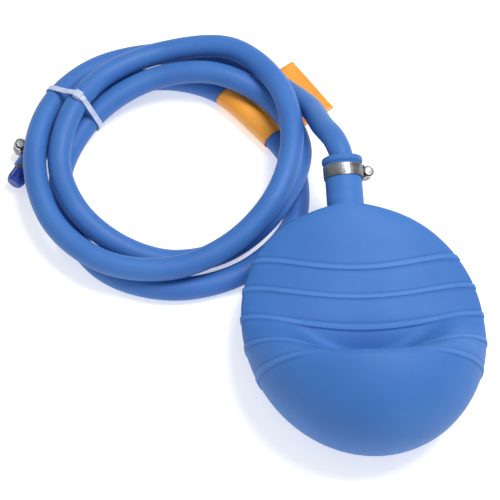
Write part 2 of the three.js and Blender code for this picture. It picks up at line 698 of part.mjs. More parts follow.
function makeCableTie(path) {
  const centres = crossings(path, TIE_ANGLE);
  const inside = HOSE_RADIUS + TIE_GAP;
  const strap = new THREE.Shape(strapOutline(centres, inside + TIE_THICKNESS).points);
  strap.holes.push(new THREE.Path(strapOutline(centres, inside).points));
  const loop = new THREE.ExtrudeGeometry(strap, { depth: TIE_WIDTH, bevelEnabled: false });
  loop.translate(0, 0, -TIE_WIDTH / 2);
  // The head sits on the straight run between the outermost pass and the topmost one
  const byHeight = centres.slice().sort((a, b) => b.y - a.y);
  const topPass = byHeight[0];
  const outerPass = centres.slice().sort((a, b) => b.x - a.x)[0];
  const run = outerPass.clone().sub(topPass).normalize();
  const outward = new THREE.Vector2(-run.y, run.x);
  const seat = topPass.clone().lerp(outerPass, 0.45).addScaledVector(outward, inside + 0.2);
  const slope = Math.atan2(run.y, run.x);
  const head = new THREE.BoxGeometry(TIE_HEAD.x, TIE_HEAD.y, TIE_HEAD.z);
  head.translate(0, TIE_HEAD.y / 2, 0).rotateZ(slope).translate(seat.x, seat.y, 0);
  const stub = new THREE.BoxGeometry(TIE_TAIL_LENGTH, TIE_THICKNESS, TIE_WIDTH);
  stub.translate(TIE_HEAD.x / 2 + TIE_TAIL_LENGTH / 2 - 0.5, TIE_HEAD.y * 0.72, 0).rotateZ(slope);
  stub.translate(seat.x, seat.y, 0);
  const solid = solidOf(loop).add(solidOf(head)).add(solidOf(stub));
  const place = new THREE.Matrix4().makeBasis(
    new THREE.Vector3(cos(TIE_ANGLE), sin(TIE_ANGLE), 0),
    new THREE.Vector3(0, 0, 1),
    new THREE.Vector3(sin(TIE_ANGLE), -cos(TIE_ANGLE), 0),
  ).setPosition(COIL_CENTRE.x, COIL_CENTRE.y, 0);
  return geometryOf(solid).applyMatrix4(place);
}

// The film's middle line in section, outer leaf, fold and under leaf, thickened and run along the fold
function makeTag(path) {
  const lap = crossings(path, TAG_ANGLE).sort((a, b) => a.y - b.y)[0];
  const half = TAG_THICKNESS / 2;
  const bend = HOSE_RADIUS + TAG_HOSE_GAP + half;
  // The lap curves in from a straight fold, so the loop is wider than the hose by the lap's rise
  const rise = (TAG_LENGTH / 2) ** 2 / (2 * lap.x);
  const under = half + 0.15;
  const over = under + TAG_THICKNESS + SEAT_GAP;
  const edge = lap.x - rise - bend + TAG_LEAF;
  const arc = (x, from, to, steps) => Array.from({ length: steps + 1 }, (_, i) => {
    const angle = lerp(from, to, i / steps);
    return new THREE.Vector2(x + bend * cos(angle), max(under, lap.y + bend * sin(angle)));
  });
  const line = [
    new THREE.Vector2(edge, under),
    ...arc(lap.x - rise, -PI / 2, -1.5 * PI, 12),
    ...arc(lap.x, PI / 2, -PI * 0.1, 7),
    new THREE.Vector2(lap.x + bend * 1.12, over + 1.2),
    new THREE.Vector2(lap.x + bend * 1.35, over),
    new THREE.Vector2(edge, over),
  ];
  const side = (sign) => line.map((point, i) => {
    const a = line[max(0, i - 1)];
    const b = line[min(line.length - 1, i + 1)];
    const along = b.clone().sub(a).normalize();
    return new THREE.Vector2(point.x - along.y * half * sign, point.y + along.x * half * sign);
  });
  const outline = [...side(1), ...side(-1).reverse()];
  const sheet = new THREE.ExtrudeGeometry(new THREE.Shape(outline), { depth: TAG_LENGTH, bevelEnabled: false });
  sheet.translate(0, 0, -TAG_LENGTH / 2);
  const place = new THREE.Matrix4().makeBasis(
    new THREE.Vector3(cos(TAG_ANGLE), sin(TAG_ANGLE), 0),
    new THREE.Vector3(0, 0, 1),
    new THREE.Vector3(sin(TAG_ANGLE), -cos(TAG_ANGLE), 0),
  ).setPosition(COIL_CENTRE.x, COIL_CENTRE.y, 0);
  return sheet.applyMatrix4(place);
}

function assemble() {
  const plug = new THREE.Group();
  const path = makeHosePath();
  plug.add(piece('bag', makeBall(), rubber));
  plug.add(piece('hose', makeHose(path), hoseRubber));

  const neckSide = new THREE.Vector3(cos(NECK_CLIP_TURN), 0, -sin(NECK_CLIP_TURN));
  const neckPlace = alongAxis(neckPoint(NECK_LENGTH - NECK_CLIP_FROM_MOUTH), neckDirection(), neckSide);
  plug.add(makeClip('neck_clip', NECK_RADIUS, neckPlace));
  const nipple = piece('neck_nipple', makeNipple(), brass);
  alongAxis(path.getPointAt(0), path.getTangentAt(0), neckSide)
    .decompose(nipple.position, nipple.quaternion, nipple.scale);
  plug.add(nipple);

  const tailShare = 1 - TAIL_CLIP_FROM_END / path.getLength();
  const tailAxis = path.getTangentAt(tailShare);
  const sideways = new THREE.Vector3(0, 0, 1).cross(tailAxis);
  const tailSide = sideways.multiplyScalar(cos(TAIL_CLIP_TURN)).add(new THREE.Vector3(0, 0, -sin(TAIL_CLIP_TURN)));
  plug.add(makeClip('tail_clip', HOSE_RADIUS, alongAxis(path.getPointAt(tailShare), tailAxis, tailSide)));

  const valve = new THREE.Group();
  alongAxis(path.getPointAt(1), path.getTangentAt(1), new THREE.Vector3(0, 0, 1))
    .decompose(valve.position, valve.quaternion, valve.scale);
  valve.add(
    piece('valve_stem', makeStem(), brass),
    piece('valve_core', makeCore(), brass),
    piece('core_pin', makePin(), brass),
    piece('valve_cap', makeCap(), capPlastic),
    piece('cap_washer', makeWasher(), washerRubber),
  );
  plug.add(valve);
  plug.add(piece('cable_tie', makeCableTie(path), nylon));
  plug.add(piece('tag', makeTag(path), film));
  return plug;
}

export default assemble();
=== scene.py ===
"""Looks of an inflatable pipe plug: a slack ribbed rubber bag, its coiled air hose and the valve."""

import enum
import json
import logging
import math
from dataclasses import dataclass

import bmesh
import bpy
from mathutils import Matrix, Vector

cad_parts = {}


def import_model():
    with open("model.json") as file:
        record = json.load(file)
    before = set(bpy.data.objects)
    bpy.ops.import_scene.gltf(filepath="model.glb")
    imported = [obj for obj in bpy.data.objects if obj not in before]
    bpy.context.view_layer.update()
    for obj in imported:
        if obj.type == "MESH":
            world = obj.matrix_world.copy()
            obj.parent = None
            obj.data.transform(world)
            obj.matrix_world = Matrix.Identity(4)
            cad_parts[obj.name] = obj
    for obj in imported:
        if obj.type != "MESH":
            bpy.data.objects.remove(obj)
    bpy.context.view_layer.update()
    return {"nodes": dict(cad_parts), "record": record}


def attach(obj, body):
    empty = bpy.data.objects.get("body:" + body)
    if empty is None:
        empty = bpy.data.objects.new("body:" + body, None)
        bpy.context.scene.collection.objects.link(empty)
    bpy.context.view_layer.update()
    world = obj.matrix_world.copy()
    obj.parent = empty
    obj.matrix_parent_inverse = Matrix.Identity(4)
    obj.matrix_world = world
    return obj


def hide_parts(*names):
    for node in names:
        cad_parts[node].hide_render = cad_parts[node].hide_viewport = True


LOG = logging.getLogger("pipe_plug")

MM = 0.001
SEAT_GAP = 0.3


def smooth(value: float, low: float, high: float) -> float:
    """Rise gently from 0 at low to 1 at high.

    Args:
        value: Where to read the step.
        low: Value at which the step starts.
        high: Value at which the step is complete.

    Returns:
        The height of the step, from 0 to 1.
    """
    share = min(1.0, max(0.0, (value - low) / (high - low)))
    return share * share * (3 - 2 * share)


def lerp(start: float, finish: float, share: float) -> float:
    """Return the value at a share of the way from start to finish."""
    return start + (finish - start) * share


def evenly_spaced(points: list[Vector], spacing: float) -> list[Vector]:
    """Give points at even distances along a line of straight pieces.

    Args:
        points: The line's corners.
        spacing: Distance between the new points, as near as whole steps allow.

    Returns:
        The new points, from the first corner to the last.
    """
    runs = [0.0]
    for before, after in zip(points, points[1:]):
        runs.append(runs[-1] + (after - before).length)
    count = round(runs[-1] / spacing)
    even = []
    at = 0
    for k in range(count + 1):
        goal = runs[-1] * k / count
        while at + 2 < len(runs) and runs[at + 1] < goal:
            at += 1
        share = (goal - runs[at]) / (runs[at + 1] - runs[at])
        even.append(points[at].lerp(points[at + 1], min(1.0, share)))
    return even


class Coordinates(enum.Enum):
    """Where a pattern gets its place from."""

    OBJECT = "Object"
    UV = "UV"


class Signal:
    """A node's output, with the arithmetic that a pattern is made of."""

    def __init__(self, sheet: "ShaderSheet", socket: bpy.types.NodeSocket) -> None:
        """Wrap a socket of a sheet's node tree."""
        self.sheet = sheet
        self.socket = socket

    def _maths(self, operation: str, other: "Signal | float") -> "Signal":
        """Join this signal and another in one Math node.

        Args:
            operation: Name of the Math node's operation.
            other: Second signal or number.

        Returns:
            The joined signal.
        """
        node = self.sheet.node("ShaderNodeMath", operation=operation)
        self.sheet.feed(node.inputs[0], self)
        self.sheet.feed(node.inputs[1], other)
        return Signal(self.sheet, node.outputs[0])

    def __add__(self, other: "Signal | float") -> "Signal":
        """Add a signal or number."""
        return self._maths("ADD", other)

    def __mul__(self, other: "Signal | float") -> "Signal":
        """Multiply by a signal or number."""
        return self._maths("MULTIPLY", other)

    def band(self, low: float, high: float) -> "Signal":
        """Stretch the part between two values so that it runs from 0 to 1.

        Args:
            low: Value that becomes 0.
            high: Value that becomes 1.

        Returns:
            The stretched signal, held between 0 and 1.
        """
        node = self.sheet.node("ShaderNodeMapRange", interpolation_type="SMOOTHSTEP", clamp=True)
        self.sheet.feed(node.inputs["Value"], self)
        node.inputs["From Min"].default_value = low
        node.inputs["From Max"].default_value = high
        return Signal(self.sheet, node.outputs["Result"])

    def spread(self, low: float, high: float) -> "Signal":
        """Turn a 0 to 1 signal into one from low to high."""
        return self * (high - low) + low


class ShaderSheet:
    """One material's node tree, with a Principled shader to feed."""

    def __init__(self, name: str) -> None:
        """Start a material of that name."""
        self.material = bpy.data.materials.new(name)
        self.material.use_nodes = True
        self.tree = self.material.node_tree
        self.shader = next(n for n in self.tree.nodes if n.type == "BSDF_PRINCIPLED")

    def node(self, kind: str, **settings: object) -> bpy.types.Node:
        """Make a node of that kind and give it its settings."""
        node = self.tree.nodes.new(kind)
        for name, value in settings.items():
            setattr(node, name, value)
        return node

    def feed(self, socket: bpy.types.NodeSocket, value: "Signal | float | tuple") -> None:
        """Link a signal to a socket, or set the socket's own value."""
        if isinstance(value, Signal):
            self.tree.links.new(value.socket, socket)
        else:
            socket.default_value = value

    def place(self, kind: Coordinates, stretch: tuple[float, float, float] = (1, 1, 1)) -> Signal:
        """Give the coordinates that a pattern is read at.

        Args:
            kind: Object or UV coordinates.
            stretch: How much the pattern is shrunk along each axis.

        Returns:
            The coordinates as a signal.
        """
        source = self.node("ShaderNodeTexCoord")
        mapping = self.node("ShaderNodeMapping")
        self.tree.links.new(source.outputs[kind.value], mapping.inputs["Vector"])
        mapping.inputs["Scale"].default_value = stretch
        return Signal(self, mapping.outputs["Vector"])

    def noise(self, place: Signal, scale: float, detail: float, rough: float) -> Signal:
        """Make a cloudy pattern.

        Args:
            place: Coordinates to read it at.
            scale: Clouds in a metre.
            detail: Finer layers laid over it.
            rough: Strength of the finer layers.

        Returns:
            The pattern, around 0.5.
        """
        node = self.node("ShaderNodeTexNoise")
        self.feed(node.inputs["Vector"], place)
        node.inputs["Scale"].default_value = scale
        node.inputs["Detail"].default_value = detail
        node.inputs["Roughness"].default_value = rough
        return Signal(self, node.outputs["Fac"])

    def attribute(self, name: str) -> Signal:
        """Read a number that the mesh carries at each point."""
        node = self.node("ShaderNodeAttribute", attribute_name=name)
        return Signal(self, node.outputs["Fac"])

    def tint(self, share: Signal, low: "tuple | Signal", high: "tuple | Signal") -> Signal:
        """Blend from one colour to another.

        Args:
            share: How much of the second colour shows.
            low: Colour at 0.
            high: Colour at 1.

        Returns:
            The blended colour.
        """
        node = self.node("ShaderNodeMix", data_type="RGBA")
        self.feed(node.inputs[0], share)
        self.feed(node.inputs[6], low)
        self.feed(node.inputs[7], high)
        return Signal(self, node.outputs[2])

    def bump(self, height: Signal, distance: float, strength: float = 1.0) -> None:
        """Raise the surface by a height pattern.

        Args:
            height: The pattern.
            distance: Metres that the surface rises where the pattern is 1.
            strength: Share of the effect.
        """
        node = self.node("ShaderNodeBump")
        self.feed(node.inputs["Height"], height)
        node.inputs["Distance"].default_value = distance
        node.inputs["Strength"].default_value = strength
        self.tree.links.new(node.outputs["Normal"], self.shader.inputs["Normal"])

    def set(self, **values: object) -> None:
        """Set or link the shader's inputs; an underscore in a name stands for a space."""
        for name, value in values.items():
            self.feed(self.shader.inputs[name.replace("_", " ")], value)


def shade(red: float, green: float, blue: float) -> tuple[float, float, float, float]:
    """Turn a colour of 0 to 255 as seen on a screen into the shader's linear colour."""

    def linear(value: float) -> float:
        """Straighten one channel."""
        part = value / 255
        return part / 12.92 if part <= 0.04045 else ((part + 0.055) / 1.055) ** 2.4

    return (linear(red), linear(green), linear(blue), 1.0)


@dataclass(frozen=True)
class MouldedRubber:
    """Matt moulded rubber of the bag, with a faint bloom, rib crowns lightened partly by bloom from rubbing
    and partly by painted highlight, and painted shade in the grooves beside the ribs.
    """

    name: str = "bag_rubber"
    roughness: float = 0.56
    dark: tuple[float, float, float] = (54, 103, 172)
    light: tuple[float, float, float] = (60, 111, 180)
    # Colour of the rib crowns: bloom from rubbing, made lighter still as painted highlight.
    rubbed_and_highlit: tuple[float, float, float] = (84, 134, 200)
    # Colour of the painted shade in the grooves beside the ribs.
    groove_shade: tuple[float, float, float] = (36, 76, 146)

    def make(self) -> bpy.types.Material:
        """Build the material.

        Returns:
            The finished material.
        """
        sheet = ShaderSheet(self.name)
        place = sheet.place(Coordinates.OBJECT)
        clouds = sheet.noise(place, 14, 4, 0.6)
        bloom = sheet.noise(place, 60, 5, 0.65)
        grain = sheet.noise(place, 1500, 2, 0.6)
        pits = sheet.noise(place, 420, 3, 0.55)
        crown = sheet.attribute("crown")
        crease = sheet.attribute("crease")
        body = sheet.tint(clouds.band(0.3, 0.7), shade(*self.dark), shade(*self.light))
        # Rib crowns lightened, partly bloom from rubbing and partly painted highlight.
        worn_and_highlit = sheet.tint(crown * bloom.spread(0.1, 0.5), body, shade(*self.rubbed_and_highlit))
        # The grooves beside the ribs are darkened with painted shade.
        sheet.set(Base_Color=sheet.tint(crease * 0.35, worn_and_highlit, shade(*self.groove_shade)))
        sheet.set(Roughness=bloom.spread(self.roughness - 0.06, self.roughness + 0.1))
        sheet.set(Specular_IOR_Level=0.25)
        sheet.bump(grain * 0.25 + pits * 0.5 + bloom * 0.6, 0.00012, 0.8)
        return sheet.material


@dataclass(frozen=True)
class HoseRubber:
    """Satin extruded rubber of the hose, with faint lines along it."""

    name: str = "hose_rubber"
    roughness: float = 0.5
    dark: tuple[float, float, float] = (54, 103, 173)
    light: tuple[float, float, float] = (61, 111, 181)

    def make(self) -> bpy.types.Material:
        """Build the material.

        Returns:
            The finished material.
        """
        sheet = ShaderSheet(self.name)
        place = sheet.place(Coordinates.OBJECT)
        along = sheet.place(Coordinates.UV, (1.0, 0.02, 1.0))
        clouds = sheet.noise(place, 18, 4, 0.6)
        bloom = sheet.noise(place, 90, 5, 0.65)
        lines = sheet.noise(along, 70, 3, 0.6)
        grain = sheet.noise(place, 1700, 2, 0.6)
        body = sheet.tint(clouds.band(0.3, 0.7), shade(*self.dark), shade(*self.light))
        sheet.set(Base_Color=body)
        sheet.set(Roughness=(bloom * 0.6 + lines * 0.4).spread(self.roughness - 0.08, self.roughness + 0.12))
        sheet.set(Specular_IOR_Level=0.3)
        sheet.bump(grain * 0.2 + lines * 0.55 + bloom * 0.5, 0.0001, 0.8)
        return sheet.material


@dataclass(frozen=True)
class Metal:
    """Rolled or turned metal with fine scratches and a little dulling."""

    name: str
    bright: tuple[float, float, float]
    dull: tuple[float, float, float]
    roughness: float

    def make(self) -> bpy.types.Material:
        """Build the material.

        Returns:
            The finished material.
        """
        sheet = ShaderSheet(self.name)
        place = sheet.place(Coordinates.OBJECT)
        drawn = sheet.place(Coordinates.OBJECT, (1.0, 6.0, 1.0))
        scratches = sheet.noise(drawn, 900, 4, 0.7)
        stains = sheet.noise(place, 160, 4, 0.6)
        sheet.set(Base_Color=sheet.tint(stains.band(0.35, 0.7), shade(*self.bright), shade(*self.dull)))
        wear = stains * 0.5 + scratches * 0.5
        sheet.set(Roughness=wear.spread(self.roughness - 0.1, self.roughness + 0.16))
        sheet.set(Metallic=1.0)
        sheet.bump(scratches, 0.00006, 0.6)
        return sheet.material


@dataclass(frozen=True)
class MouldedPlastic:
    """Moulded plastic with a fine spark-eroded grain."""

    name: str
    light: tuple[float, float, float]
    dark: tuple[float, float, float]
    roughness: float
    glow: float = 0.0

    def make(self) -> bpy.types.Material:
        """Build the material.

        Returns:
            The finished material.
        """
        sheet = ShaderSheet(self.name)
        place = sheet.place(Coordinates.OBJECT)
        clouds = sheet.noise(place, 120, 3, 0.55)
        grain = sheet.noise(place, 2600, 2, 0.5)
        sheet.set(Base_Color=sheet.tint(clouds.band(0.35, 0.65), shade(*self.dark), shade(*self.light)))
        sheet.set(Roughness=clouds.spread(self.roughness - 0.06, self.roughness + 0.1))
        sheet.set(Subsurface_Weight=self.glow, Subsurface_Radius=(0.002, 0.002, 0.003))
        sheet.bump(grain + clouds * 0.5, 0.00005, 0.6)
        return sheet.material


@dataclass(frozen=True)
class PrintedFilm:
    """Thin orange film, satin, a little scuffed, its tone varying in soft clouds."""

    name: str = "tag_film"
    dark: tuple[float, float, float] = (228, 146, 36)
    light: tuple[float, float, float] = (238, 160, 54)

    def make(self) -> bpy.types.Material:
        """Build the material.

        Returns:
            The finished material.
        """
        sheet = ShaderSheet(self.name)
        place = sheet.place(Coordinates.OBJECT)
        clouds = sheet.noise(place, 45, 4, 0.6)
        scuffs = sheet.noise(place, 380, 4, 0.7)
        sheet.set(Base_Color=sheet.tint(clouds.band(0.3, 0.7), shade(*self.dark), shade(*self.light)))
        sheet.set(Roughness=scuffs.spread(0.26, 0.5))
        sheet.set(Specular_IOR_Level=0.5, Coat_Weight=0.25, Coat_Roughness=0.2)
        sheet.bump(clouds + scuffs * 0.2, 0.0003, 0.5)
        return sheet.material


class RingSkin:
    """A skin that is grown ring by ring, each ring extruded from the one before."""

    def __init__(self, columns: int) -> None:
        """Start an empty skin with that many points in each ring."""
        self.columns = columns
        self.bm = bmesh.new()
        self.column = self.bm.verts.layers.int.new("column")
        self.row = self.bm.verts.layers.int.new("row")
        self.edges: list[bmesh.types.BMEdge] = []
        self.rows = 0

    def grow(self, ring: list[Vector]) -> None:
        """Add one ring.

        Args:
            ring: The ring's points, in order, in metres.
        """
        if self.rows == 0:
            verts = bmesh.ops.create_circle(self.bm, segments=self.columns, radius=1.0)["verts"]
            for index, vert in enumerate(verts):
                vert[self.column] = index
        else:
            grown = bmesh.ops.extrude_edge_only(self.bm, edges=self.edges)["geom"]
            verts = [item for item in grown if isinstance(item, bmesh.types.BMVert)]
        for vert in verts:
            vert[self.row] = self.rows
            vert.co = ring[vert[self.column]]
        fresh = set(verts)
        self.edges = [
            edge
            for vert in verts
            for edge in vert.link_edges
            if edge.verts[0] in fresh and edge.verts[1] in fresh and edge.verts[0] == vert
        ]
        self.rows += 1

    def close(self, tip: Vector | None = None) -> None:
        """Shut the last ring with a fan round its middle.

        Args:
            tip: Where the middle of the fan goes, if not in the ring's own middle.
        """
        face = bmesh.ops.edgeloop_fill(self.bm, edges=self.edges)["faces"]
        middle = bmesh.ops.poke(self.bm, faces=face)["verts"][0]
        middle[self.row] = self.rows
        if tip is not None:
            middle.co = tip

    def close_start(self, tip: Vector | None = None) -> None:
        """Shut the first ring with a fan round its middle."""
        edges = [e for e in self.bm.edges if e.is_boundary and e.verts[0][self.row] == 0]
        last, self.edges = self.edges, edges
        self.close(tip)
        for vert in self.bm.verts[-1:]:
            vert[self.row] = 0
        self.edges = last


def finished_object(name: str, bm: bmesh.types.BMesh, material: bpy.types.Material) -> bpy.types.Object:
    """Turn a bmesh into a smooth shaded object at the origin.

    Args:
        name: Name of the object.
        bm: The shape, which is freed.
        material: The object's material.

    Returns:
        The new object, linked to the scene.
    """
    bmesh.ops.recalc_face_normals(bm, faces=bm.faces)
    mesh = bpy.data.meshes.new(name)
    bm.to_mesh(mesh)
    bm.free()
    mesh.shade_smooth()
    mesh.materials.append(material)
    piece = bpy.data.objects.new(name, mesh)
    bpy.context.scene.collection.objects.link(piece)
    return piece


@dataclass(frozen=True)
class AirBag:
    """The slack ribbed ball and its neck; sizes in millimetres.

    The ball's plan is two half ovals that meet at the widest place. Behind the dome's crest the
    slack top falls into a valley and rises again to the neck, and the whole has slumped to one side.
    """

    width: float = 177.5
    widest_y: float = 5.9
    front_length: float = 96.2
    back_length: float = 94.4
    front_fullness: float = 2.0
    back_fullness: float = 2.25
    height: float = 102
    rim_height: float = 46
    dome_length: float = 56.7
    underside_depth: float = 60
    underside_lift_y: float = 36
    neck_blend_y: float = 48
    crest_y: float = -36.6
    crest_margin: float = 2
    valley_y: float = -25.5
    valley_depth: float = 8.2
    valley_length: float = 13
    valley_half_width: float = 63.3
    slope_length: float = 18.6
    slope_length_at_sides: float = 56.4
    slack_rise: float = 14.7
    slack_rise_in_valley: float = 4.7
    slack_rise_y: float = 20
    slack_sag: float = 13.1
    crest_softness: float = 5
    slump_lean: float = 0.0078
    slump_bulge: float = -2.0
    rib_slant: float = -0.051
    dome_slant: float = -0.039
    dome_slant_y: float = -60
    rib_count: int = 5
    rib_first_y: float = -33.2
    rib_pitch: float = 23.3
    rib_width: float = 4.8
    rib_crown: float = 2.8
    rib_height: float = 0.8
    rib_groove_depth: float = 0.18
    rib_groove_width: float = 0.7
    rib_groove_offset: float = 0.5
    rib_fade: tuple[float, float] = (0.4, 0.75)
    rib_reach: float = 5
    rib_rings: tuple[float, ...] = (4, 3.3, 2.8, 2.5, 2.2, 1.9, 1.6, 1.3, 0.7)
    gap_steps: int = 9
    side_sharpness: int = 6
    neck_radius: float = 14
    neck_length: float = 33
    neck_offset_x: float = -5
    neck_root_y: float = 108
    neck_root_z: float = 55
    neck_tilt: float = math.radians(15)
    lip_radius: float = 15.6
    lip_length: float = 6
    neck_flare: float = 3
    neck_play: float = SEAT_GAP
    hose_radius: float = 9
    columns: int = 240
    dome_rings: int = 44
    shoulder_rings: int = 44
    lip_rings: int = 9
    plain_spacing: float = 1.6

    def half_width(self, y: float) -> float:
        """Return half the ball's width at a place along it."""
        length = self.front_length if y < self.widest_y else self.back_length
        fullness = self.front_fullness if y < self.widest_y else self.back_fullness
        share = min(1.0, abs(y - self.widest_y) / length)
        return self.width / 2 * (1 - share**fullness) ** (1 / fullness)

    def last_rib_y(self) -> float:
        """Return the place of the rib nearest the neck."""
        return self.rib_first_y + (self.rib_count - 1) * self.rib_pitch

    def neck_point(self, distance: float) -> Vector:
        """Return a point on the neck's axis, at a distance from its root."""
        run = distance * math.cos(self.neck_tilt)
        rise = distance * math.sin(self.neck_tilt)
        return Vector((self.neck_offset_x, self.neck_root_y + run, self.neck_root_z + rise))

    def slack_shift(self, y: float, across: float) -> float:
        """Return how far the slack top has crept towards the dome."""
        growing = smooth(y, self.rib_first_y, self.rib_first_y + self.rib_pitch)
        fading = 1 - smooth(y, self.last_rib_y(), self.neck_root_y)
        return self.slack_sag * growing * fading * (1 - across * across)

    def slumped(self, x: float, y: float, z: float, station: float) -> Vector:
        """Give a point's place once the slack ball has slumped to one side.

        Args:
            x: Place across the ball.
            y: Place along the ball.
            z: Height.
            station: Place along the ball of the ring that the point is on.

        Returns:
            The point, in millimetres.
        """
        reach = self.neck_root_y - self.widest_y + self.front_length
        from_neck = self.neck_root_y - y
        slant = lerp(self.dome_slant, self.rib_slant, smooth(station, self.dome_slant_y, 0))
        held = 1 - smooth(station, self.neck_blend_y, self.neck_root_y)
        bulge = self.slump_bulge * math.sin(math.pi * min(1.0, max(0.0, from_neck / reach)))
        return Vector((x + self.slump_lean * from_neck + bulge, y + slant * held * x, z))

    def skin_point(self, station: float, turn: float) -> Vector:
        """Give a point of the plain skin.

        Args:
            station: Place along the ball.
            turn: Angle round the section, from the right rim over the top.

        Returns:
            The point, in millimetres.
        """
        across = math.cos(turn)
        level = math.sin(turn)
        near_neck = smooth(station, self.neck_blend_y, self.neck_root_y)
        half = max(self.half_width(station), near_neck * self.neck_radius)
        x = half * across + self.neck_offset_x * near_neck
        rim = lerp(self.rim_height, self.neck_root_z, near_neck)
        dome_end = self.widest_y - self.front_length
        into_dome = max(0.0, dome_end + self.dome_length - station) / self.dome_length
        dome_fall = math.sqrt(max(0.0, 1 - into_dome * into_dome))
        if level < 0:
            span = self.neck_root_y + self.crest_margin - self.underside_lift_y
            into_neck = max(0.0, station - self.underside_lift_y) / span
            depth = self.underside_depth * dome_fall * math.sqrt(max(0.0, 1 - into_neck * into_neck))
            depth = max(depth, near_neck * self.neck_radius)
            return self.slumped(x, station, max(0.0, rim + depth * level), station)
        y = station - self.slack_shift(station, across) * level
        share = (x / self.valley_half_width) ** 2
        side = share / (1 + share**self.side_sharpness) ** (1 / self.side_sharpness)
        slope = lerp(self.slope_length, self.slope_length_at_sides, side)
        shifts = (-1, -0.5, 0, 0.5, 1)
        falls = [smooth(y + self.crest_softness * s, self.crest_y, self.crest_y + slope) for s in shifts]
        slack = sum(falls) / len(falls)
        trough = math.exp(-(((y - self.valley_y) / self.valley_length) ** 2))
        valley = self.valley_depth * trough * (1 - side) * slack
        to_neck = smooth(y, self.last_rib_y(), self.neck_root_y)
        beyond = smooth(y, self.valley_y, self.slack_rise_y)
        slack_rise = lerp(self.slack_rise_in_valley, self.slack_rise, beyond)
        slack_rise = lerp(slack_rise, self.neck_radius, to_neck)
        rise = lerp((self.height - self.rim_height) * dome_fall, slack_rise, slack)
        return self.slumped(x, y, rim + (rise - valley) * level, station)

    def rib_profile(self, station: float) -> tuple[float, float, float]:
        """Give the rib's height, crown mark and crease mark at a place along the ball.

        Args:
            station: Place along the ball.

        Returns:
            Height over the skin in millimetres, how much of a crown it is, and of a crease.
        """
        index = round((station - self.rib_first_y) / self.rib_pitch)
        if not 0 <= index < self.rib_count:
            return (0.0, 0.0, 0.0)
        off = abs(station - self.rib_first_y - index * self.rib_pitch)
        up = 1 - smooth(off, self.rib_crown / 2, self.rib_width / 2)
        off_groove = off - self.rib_width / 2 - self.rib_groove_offset
        groove = math.exp(-((off_groove / self.rib_groove_width) ** 2))
        return (self.rib_height * up - self.rib_groove_depth * groove, up, groove)

    def ribbed_point(self, station: float, turn: float, height: float) -> Vector:
        """Give a point of the skin, raised along its normal.

        Args:
            station: Place along the ball.
            turn: Angle round the section.
            height: How far it is raised, in millimetres.

        Returns:
            The point, in millimetres.
        """
        point = self.skin_point(station, turn)
        if abs(height) > 1e-4:
            along = self.skin_point(station + 0.5, turn) - self.skin_point(station - 0.5, turn)
            around = self.skin_point(station, turn + 0.01) - self.skin_point(station, turn - 0.01)
            point -= around.cross(along).normalized() * height
        point.z = max(0.0, point.z)
        return point

    def stations(self) -> list[float]:
        """List the places along the ball that get a ring, close together at the ribs."""
        dome_end = self.widest_y - self.front_length
        turns = [k * math.pi / 2 / self.dome_rings for k in range(1, self.dome_rings)]
        found = [dome_end + self.dome_length * (1 - math.cos(turn)) for turn in turns]
        first = self.rib_first_y - self.rib_reach - 1
        last = self.last_rib_y() + self.rib_reach
        found = [y for y in found if y < first - 2]
        y = found[-1]
        count = math.ceil((first - y) / self.plain_spacing)
        found += [lerp(y, first, k / count) for k in range(1, count)]
        before = [-self.rib_reach] + [-off for off in self.rib_rings]
        offsets = before + [0] + [-off for off in reversed(before)]
        for index in range(self.rib_count):
            middle = self.rib_first_y + index * self.rib_pitch
            found += [middle + off for off in offsets]
            if index + 1 < self.rib_count:
                gap = self.rib_pitch - 2 * self.rib_reach
                start = middle + self.rib_reach
                found += [start + gap * k / self.gap_steps for k in range(1, self.gap_steps)]
        turns = [k / self.shoulder_rings * math.pi / 2 for k in range(1, self.shoulder_rings)]
        found += [lerp(last, self.neck_root_y, math.sin(turn)) for turn in turns]
        return found

    def neck_rings(self) -> list[tuple[float, float]]:
        """List the neck's rings from its root over the rolled mouth and down the bore."""
        length = self.neck_length
        lip = length - self.lip_length
        bore = self.hose_radius + self.neck_play
        rings = [(6, self.neck_radius), (9, self.neck_radius)]
        rings += [(lip - 1.6, self.neck_radius), (lip - 0.6, self.neck_radius + 0.1)]
        middle = lip + self.lip_length / 2
        roll = self.lip_length / 2 - 0.4
        swell = self.lip_radius - self.neck_radius
        for step in range(self.lip_rings):
            angle = math.pi * (step + 0.5) / self.lip_rings
            rings.append((middle - roll * math.cos(angle), self.neck_radius + swell * math.sin(angle) ** 0.7))
        rings += [(length - 0.15, self.lip_radius - 1.9), (length, self.lip_radius - 2.8)]
        rings += [(length - 0.2, bore + 2.9), (length - 0.9, bore + self.neck_flare * 0.75)]
        rings += [(length - 3, bore + self.neck_flare * 0.4), (length - 5.5, bore + 0.4)]
        rings += [(length - 8, bore), (length - 14, bore), (length - 26.3, bore)]
        return rings

